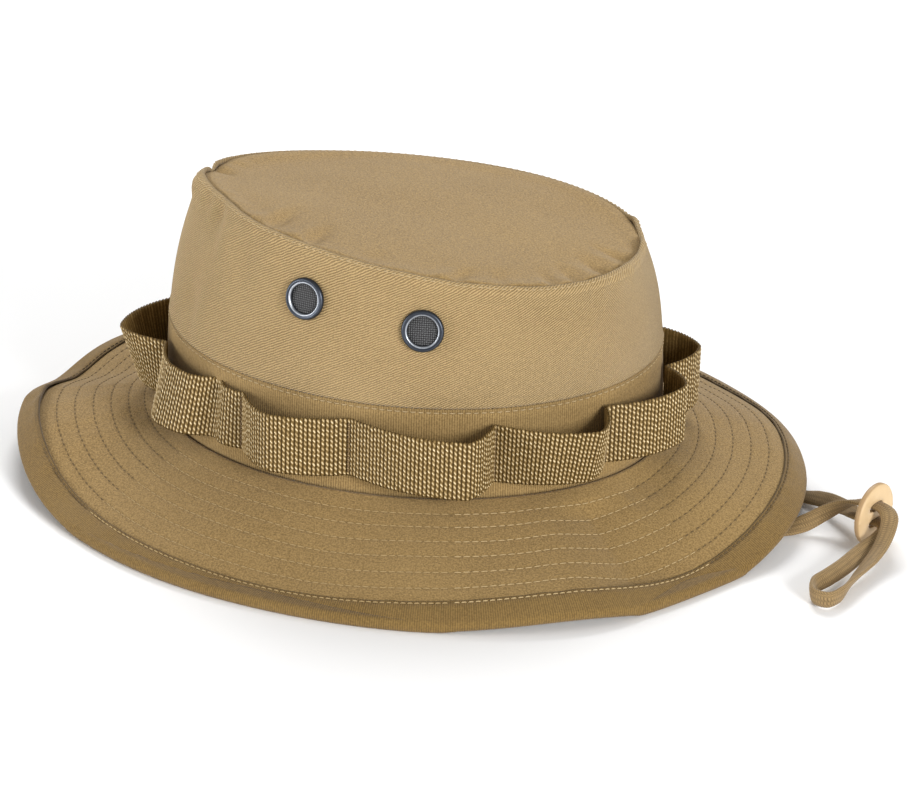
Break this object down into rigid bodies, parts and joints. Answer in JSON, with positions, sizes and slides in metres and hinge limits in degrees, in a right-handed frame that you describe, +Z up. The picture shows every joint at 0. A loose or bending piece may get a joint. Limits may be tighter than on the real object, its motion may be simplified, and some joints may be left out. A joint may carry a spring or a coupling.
{
  "type": "boonie hat",
  "caption": "Soft cotton boonie hat with a flat oval crown, screened side vents, a webbing strap of branch loops, a wide stitched brim and a chin cord with a leather slider.",
  "frame": {"origin": "on the surface the hat rests on, under the middle of the brim's box", "axes": "+Z up through the crown tip, +X along the hat's long way towards the end where the chin cord comes out, -Y towards the flank that the picture shows"},
  "size_m": [0.363, 0.2718, 0.1251],
  "materials": {
    "cotton_twill": "matt coyote brown cotton twill",
    "quilted_twill": "matt coyote brown cotton with rows of stitching",
    "ribbed_cotton": "matt brown cotton with fine upright ribs",
    "webbing": "coarse woven webbing",
    "lace": "flat braided lace",
    "leather": "smooth tan leather",
    "gunmetal": "satin blue-grey gunmetal",
    "vent_screen": "dark woven wire screen"
  },
  "bodies": {
    "root": {"crown_tip": "cotton_twill", "crown_side": "cotton_twill", "crown_band": "ribbed_cotton", "brim": "quilted_twill", "brim_binding": "ribbed_cotton", "branch_loop_strap": "webbing", "chin_cord": "lace", "cord_slider": "leather", "vent_ring_front_left": "gunmetal", "vent_screen_front_left": "vent_screen", "vent_ring_front_right": "gunmetal", "vent_screen_front_right": "vent_screen", "vent_ring_back_right": "gunmetal", "vent_screen_back_right": "vent_screen", "vent_ring_back_left": "gunmetal", "vent_screen_back_left": "vent_screen"}
  },
  "joints": []
}
